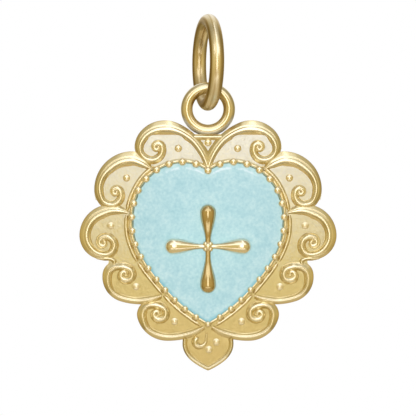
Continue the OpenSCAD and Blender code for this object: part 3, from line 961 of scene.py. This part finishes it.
# To the eye: a soft gloss over a cloudy blue, like stone or hard enamel
TURQUOISE = turquoise("polished_turquoise")
print("finish:", TURQUOISE.name)

# %% [markdown]
# ## The heart
# The stone fills the bezel and swells to a shallow dome that rolls down at its edge. Sculpting would
# leave its height to the eye. So rings of points run from the edge to the middle, close together
# where the edge rolls, and one formula gives their heights.

# %% Inlay
DOME_TOP, DOME_FOOT, EDGE_DROP, EDGE_ROLL, INLAY_GAP = 0.48, 0.22, 0.05, 0.13, 0.08
FLOOR_GAP, SLANT = 0.02, 0.8    # above the pocket's floor; rays to the middle meet the edge aslant
EDGE_RINGS = np.array([0, 0.004, 0.01, 0.018, 0.028, 0.04, 0.055, 0.075, 0.1, 0.13])


def inlay_mesh():
    """The stone: a wall from the pocket's floor, then rings up to the middle of the dome."""
    rim = heart_inside(INLAY_GAP)
    count, reach = len(rim), np.linalg.norm(rim - HUB, axis=1)
    vertices, edge, faces = [(x, y, -POCKET + FLOOR_GAP) for x, y in rim], [0.0] * count, []
    for share in np.concatenate([1 - EDGE_RINGS, np.linspace(0.83, 0.04, 26)]):
        gap = reach * (1 - share) * SLANT
        dome = DOME_TOP - (DOME_TOP - DOME_FOOT) * share ** 2
        heights = dome - EDGE_DROP * np.exp(-(gap / EDGE_ROLL) ** 1.3)
        faces += band(len(vertices) - count, len(vertices), count)
        vertices += [(x, y, h) for (x, y), h in zip(HUB + (rim - HUB) * share, heights)]
        edge += list(gap)
    faces += [tuple(range(len(vertices) - count, len(vertices))), tuple(range(count))]
    return solid(vertices, faces, TURQUOISE, edge=edge)


piece("turquoise_heart", [inlay_mesh()], "heart_inlay", slot="turquoise")

# %% [markdown]
# ## The cross
# Four drops of gold, drawn out to necks, meet in a boss of four lobes. Metaballs would make drops,
# but their necks are hard to set. So each arm is turned like a baluster: one profile, round at the
# tip and slim at the middle, spun about its axis.

# %% Arms of the cross
# To the eye: a darker, warmer mirror, as painted shade, setting the upright arms off from those
# across
UPRIGHT_SHADE_GILT = gilt("burnished_gilding_painted_shade", "#C2AC80", "#D0BE96", 0.16, 0.03)
DROP_R, NECK_R, NECK_RUN, SPIN = 0.55, 0.18, 2.05, 40
ARMS = [(0, 2.92, UPRIGHT_SHADE_GILT), (90, 3.0, BEADS), (180, 3.26, UPRIGHT_SHADE_GILT), (270, 3.0, BEADS)]    # turn, length
DROP_DEPTH = 0.5                # from the front of the drops to their axis
CROSS_LIFT = FACE - (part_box("cross")[0].y / MM + DROP_DEPTH)


def arm_mesh(turn, tip, finish):
    """One arm of the cross, turned about its own axis."""
    nose = DROP_R * (1 - np.cos(np.linspace(0, math.pi / 2, 14)))
    depth = np.concatenate([nose, np.linspace(DROP_R, tip, 40)[1:]])
    ball = np.sqrt(np.maximum(DROP_R ** 2 - (DROP_R - np.minimum(depth, DROP_R)) ** 2, 0))
    fall = 0.5 + 0.5 * np.cos(math.pi * np.clip((depth - DROP_R) / NECK_RUN, 0, 1))
    radius = np.where(depth < DROP_R, ball, NECK_R + (DROP_R - NECK_R) * fall)
    c, s = math.cos(math.radians(turn)), math.sin(math.radians(turn))
    vertices, faces, rows = [], [], len(depth) - 1
    for d, r in zip(depth[1:], radius[1:]):
        for k in range(SPIN):
            a = 2 * math.pi * k / SPIN
            u, v, h = r * math.cos(a), tip - d, r * math.sin(a)
            vertices.append((HUB[0] + c * u - s * v, HUB[1] + s * u + c * v, CROSS_LIFT + h))
    for i in range(rows - 1):
        faces += band(i * SPIN, (i + 1) * SPIN, SPIN)
    faces += [tuple(range(SPIN)), tuple(range((rows - 1) * SPIN, rows * SPIN))]
    return solid(vertices, faces, finish, height=0.75)


arms = [arm_mesh(*arm) for arm in ARMS]
print("cross: axis", round(CROSS_LIFT, 3), "mm above the face")

# %% Boss, and the whole cross
LOBE_R, LOBE_OFF, LOBE_LIFT, BOSS_R = 0.2, 0.17, 0.06, 0.32
lobes = [(HUB[0] + LOBE_OFF * i, HUB[1] + LOBE_OFF * j, CROSS_LIFT + LOBE_LIFT)
         for i in (-1, 1) for j in (-1, 1)]
boss = [beads(lobes, LOBE_R, BEADS), beads([(HUB[0], HUB[1], CROSS_LIFT)], BOSS_R, BEADS)]
piece("gilt_cross", arms + boss, "cross", slot="bright_gold")

# %% [markdown]
# ## Wire for the rings
# Loop and jump ring are round drawn wire. Blender's torus has the form, but not the streaks from the
# drawing plate. So a tree sweeps a circle along a circle, gives each point of the section its own
# tone, and can darken one side with painted shade.

# %% Ring tree
STREAK_MM = 0.28                # real drawing lines are finer; these are wide enough to show


def ring_tree():
    """The tree that makes a ring of wire."""
    shape, put, given = new_shape(
        "wire_ring", Ring_radius="Float", Wire_radius="Float", Tarnish_on_one_side="Float",
        Finish="Material")
    floats = dict(data_type="FLOAT", domain="POINT")
    path = put("CurvePrimitiveCircle", {"Resolution": 200, "Radius": given["Ring radius"]})
    section = put("CurvePrimitiveCircle", {"Resolution": 64, "Radius": given["Wire radius"]})
    lines = put("TexNoise", {"Scale": 1 / STREAK_MM, "Detail": 1.0})
    streak = put("MapRange", [lines, 0.35, 0.65, 0.2])
    toned = put("StoreNamedAttribute", {
        "Geometry": section, "Name": "height", "Value": streak}, **floats)
    swept = put("CurveToMesh", {"Curve": path, "Profile Curve": toned})
    # Painted shade: the streaks' tone is turned down along one side of the ring
    drawn = put("InputNamedAttribute", {"Name": "height"}, data_type="FLOAT")
    spot = put("SeparateXYZ", {"Vector": put("InputPosition")})
    side = put("Math", [spot.outputs["Z"], given["Wire radius"]], operation="DIVIDE")
    least = put("Math", [1.0, given["Tarnish on one side"]], operation="SUBTRACT")
    unshaded = put("MapRange", [side, 0.78, 0.95, 1.0, least])
    tone_with_painted_light = put("Math", [drawn, unshaded], operation="MULTIPLY")
    shaded_at_edge = put("StoreNamedAttribute", {
        "Geometry": swept, "Name": "height", "Value": tone_with_painted_light}, **floats)
    end_shape(put, shaded_at_edge, given)
    return shape


RING = ring_tree()
print("ring tree:", len(RING[0].nodes), "nodes")

# %% [markdown]
# ## Loop and jump ring
# The loop is soldered to the plate and lies in its plane; the jump ring passes through it, edge on
# but for a small turn. They could be placed by eye, but must hang free of each other, so their sizes
# and heights are read off the frame's boxes.

# %% Rings
# To the eye: bright lines along the wire, and brown ones beside them
WIRE = gilt("drawn_gilt_wire", "#D6C596", "#F4EEE0", 0.19, 0.02, mottle=0.05)
# To the eye: the same lines, blurred low down where the loop rubs, and a dark line of painted shade
WORN_EDGE_SHADED_WIRE = gilt("gilt_wire_worn_and_edge_shaded", "#BFA66C", "#F8EFDA", 0.25, 0.02, painted_shade_colour="#8C6E36", rubbed=0.15,
                 mottle=0.05)
RING_TURN, RING_WIRE, RING_EDGE_SHADE, LOOP_WIRE = 12.5, 1.0, 0.85, 0.82


def wire_ring(box, wire, yaw, finish, edge_shade_amount=0.0):
    """A ring of wire that fills the height of a solid's box, turned about the vertical."""
    low, high = box
    radius, centre_z = (high.z - low.z) / MM / 2 - wire / 2, (low.z + high.z) / 2 / MM
    mesh = grown(*RING, bpy.data.meshes.new("ring"), radius, wire / 2, edge_shade_amount, finish)
    c, s = math.cos(math.radians(yaw)), math.sin(math.radians(yaw))
    for vertex in mesh.vertices:
        x, y, z = vertex.co
        vertex.co = Vector((c * x + s * z, s * x - c * z, y + centre_z)) * MM
    return mesh


jump_ring = wire_ring(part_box("jump_ring"), RING_WIRE, RING_TURN - 90, WORN_EDGE_SHADED_WIRE, RING_EDGE_SHADE)
piece("gilt_jump_ring", [jump_ring], "jump_ring", body="jump_ring", flat=False)
top_loop = wire_ring(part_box("top_loop"), LOOP_WIRE, 0, WIRE)
piece("gilt_top_loop", [top_loop], "top_loop", flat=False)

# %% [markdown]
# ## Camera
# A catalogue picture looks straight at the face. A camera close by would show the rims' sides, and an
# orthographic one no depth at all, so this one stands off with a long lens, worked out from the
# width of the picture at the charm.

# %% Camera
FRAME_MM, CAMERA_MM, CENTRE_Z = 29.22, 175.0, -10.23
camera = bpy.data.cameras.new("camera")
camera.sensor_width = 36.0
camera.lens = camera.sensor_width * CAMERA_MM / FRAME_MM
camera.clip_start, camera.clip_end = 0.005, 10.0
viewer = bpy.data.objects.new("camera", camera)
viewer.location = Vector((0, -CAMERA_MM, CENTRE_Z)) * MM
viewer.rotation_euler = (math.pi / 2, 0, 0)
bpy.context.scene.collection.objects.link(viewer)
bpy.context.scene.camera = viewer
print("lens:", round(camera.lens, 1), "mm")

# %% [markdown]
# ## Lamps
# Gold shows little but its surroundings, so each lamp is a shape to be mirrored: a tall box in front
# for upright forms, a wide strip across, a thin one below, one overhead for the ring and the upper
# lobes, and a weak box above. One broad lamp would wash these lines into one. The stone is lit by a
# fill that, like a polarised lamp, leaves no reflection.

# %% Lamps
# Name, place and aim in mm, width and height in mm, and glow, which is 1 for plain white
LAMPS = [
    ("front_soft_box", (0, -87, -2), (0, 0, -8), 24, 64, 1.8),
    ("cross_strip", (0, -76, 44), (0, 0, -8), 160, 36, 0.95),
    ("lower_strip", (0, -70, -60), (0, 0, -16), 100, 16, 1.05),
    ("ring_strip", (4, -25, 85), (0, 0, 0), 12, 90, 1.1),
    ("upper_soft_box", (0, -58, 78), (0, 0, -2), 80, 56, 0.4),
]
FILL = ("polarised_fill", (0, -155, -14), (0, 0, -13), 30, 30, 82.0)


def soft_box(name, place, aim, width, height, glow, mirrored):
    """A rectangular lamp that is seen in reflections only, or lights plain surfaces only."""
    lamp = bpy.data.lights.new(name, "AREA")
    lamp.shape = "RECTANGLE"
    lamp.size, lamp.size_y = width * MM, height * MM
    lamp.energy = glow * math.pi * lamp.size * lamp.size_y
    lamp.color = linear("#F2F8FF")[:3]
    holder = bpy.data.objects.new(name, lamp)
    holder.location = Vector(place) * MM
    holder.rotation_euler = (Vector(aim) - Vector(place)).to_track_quat("-Z", "Y").to_euler()
    holder.visible_camera, holder.visible_glossy = False, mirrored
    holder.visible_diffuse = not mirrored
    bpy.context.scene.collection.objects.link(holder)


for lamp in LAMPS:
    soft_box(*lamp, mirrored=True)
soft_box(*FILL, mirrored=False)
print("lamps:", [lamp[0] for lamp in LAMPS + [FILL]])

# %% [markdown]
# ## Floor
# A sheet of paper lies well below the charm. Plain white would put a hard patch in the gold's lower
# slopes, so the paper is white where it is looked at, and glows straw where it is mirrored as a
# painted reflection.

# %% Floor
FLOOR_REACH, FLOOR_Z = 300 * MM, -300 * MM
SQUARE = (-1, -1), (1, -1), (1, 1), (-1, 1)
corners = [(x * FLOOR_REACH, y * FLOOR_REACH, FLOOR_Z) for x, y in SQUARE]
floor_mesh = bpy.data.meshes.new("floor")
floor_mesh.from_pydata(corners, [], [(0, 1, 2, 3)])
floor = bpy.data.objects.new("floor", floor_mesh)
bpy.context.scene.collection.objects.link(floor)
print("floor at", round(FLOOR_Z / MM), "mm")

# %% Paper
# To the eye: plain white paper, and a painted warm reflection in the gold's lower slopes
paper, put = blank("white_paper")
path = put("LightPath").outputs
plain = put("BsdfDiffuse", {"Color": linear("#E2D4AC")})
straw = put("Emission", {"Color": linear("#D5C295"), "Strength": 1.0})
white = put("Emission", {"Color": linear("#FFFFFF"), "Strength": 1.0})
mirrored = put("Math", [path["Is Glossy Ray"], path["Is Transmission Ray"]], operation="MAXIMUM")
reflected = put("MixShader", {"Fac": mirrored, 1: plain, 2: straw})
seen = put("MixShader", {"Fac": path["Is Camera Ray"], 1: reflected, 2: white})
put("OutputMaterial", {"Surface": seen})
floor_mesh.materials.append(paper)
print("finish:", paper.name)

# %% [markdown]
# ## Room
# Between the lamps the gold mirrors a room: warm walls, dimmer to the sides and behind. Built walls
# would light the stone and show in the picture, so the room is the world's background, drawn by
# direction. The picture's ground is white, and so is what a grazing reflection shows behind.

# %% Room
world = bpy.data.worlds.new("room")
bpy.context.scene.world = world
world.use_nodes = True
world.node_tree.nodes.clear()
put = partial(add, world.node_tree)
path = put("LightPath").outputs
ahead = put("TexCoord").outputs["Generated"]
facing = put("SeparateXYZ", {"Vector": ahead}).outputs
# The walls' colour from floor to ceiling
tall = put("MapRange", [facing["Z"], -1.0, 1.0])
walls = put("ValToRGB", {"Fac": tall}, stops=[
    (0.0, "#D1BE8A"), (0.30, "#D1B979"), (0.51, "#E0C986"), (0.75, "#D3C08A"), (0.88, "#D4C8A2"),
    (1.0, "#DCD1B2")])
# Dimmer to the sides and to the back, and lighter again high up behind
aside = put("Math", [facing["X"]], operation="ABSOLUTE")
wing = put("MapRange", [aside, 0.35, 0.95, 1.0, 0.95])
back = put("MapRange", [facing["Y"], -1.0, 1.0])
far = put("ValToRGB", {"Fac": back}, stops=[
    (0.22, "#FFFFFF"), (0.45, "#D9D9D9"), (0.58, "#BCBCBC")])
above = put("Math", [facing["Y"], facing["Z"]], operation="ADD")
lift = put("MapRange", [above, 0.9, 1.4, 0.0, 0.7])
dim = put("Math", [wing, far, lift], operation="MULTIPLY_ADD")
# The room in reflections, a grey one for plain surfaces, and white behind
mirrored_room = put("Background", {"Color": walls, "Strength": dim})
plain_room = put("Background", {"Color": linear("#565656"), "Strength": 1.0})
white = put("Background", {"Color": linear("#FFFFFF"), "Strength": 1.0})
lit = put("MixShader", {"Fac": path["Is Glossy Ray"], 1: plain_room, 2: mirrored_room})
rear = put("Math", [facing["Z"], 0.5, facing["Y"]], operation="MULTIPLY_ADD")
behind = put("MapRange", [rear, 0.85, 1.15])
shown = put("Math", [path["Is Glossy Ray"], path["Is Transmission Ray"]], operation="MAXIMUM")
backdrop = put("Math", [shown, behind], operation="MULTIPLY")
clear = put("Math", [path["Is Camera Ray"], backdrop], operation="MAXIMUM")
seen = put("MixShader", {"Fac": clear, 1: lit, 2: white})
put("OutputWorld", {"Surface": seen})
bpy.context.scene.view_settings.view_transform = "Standard"
print("room:", len(world.node_tree.nodes), "nodes")
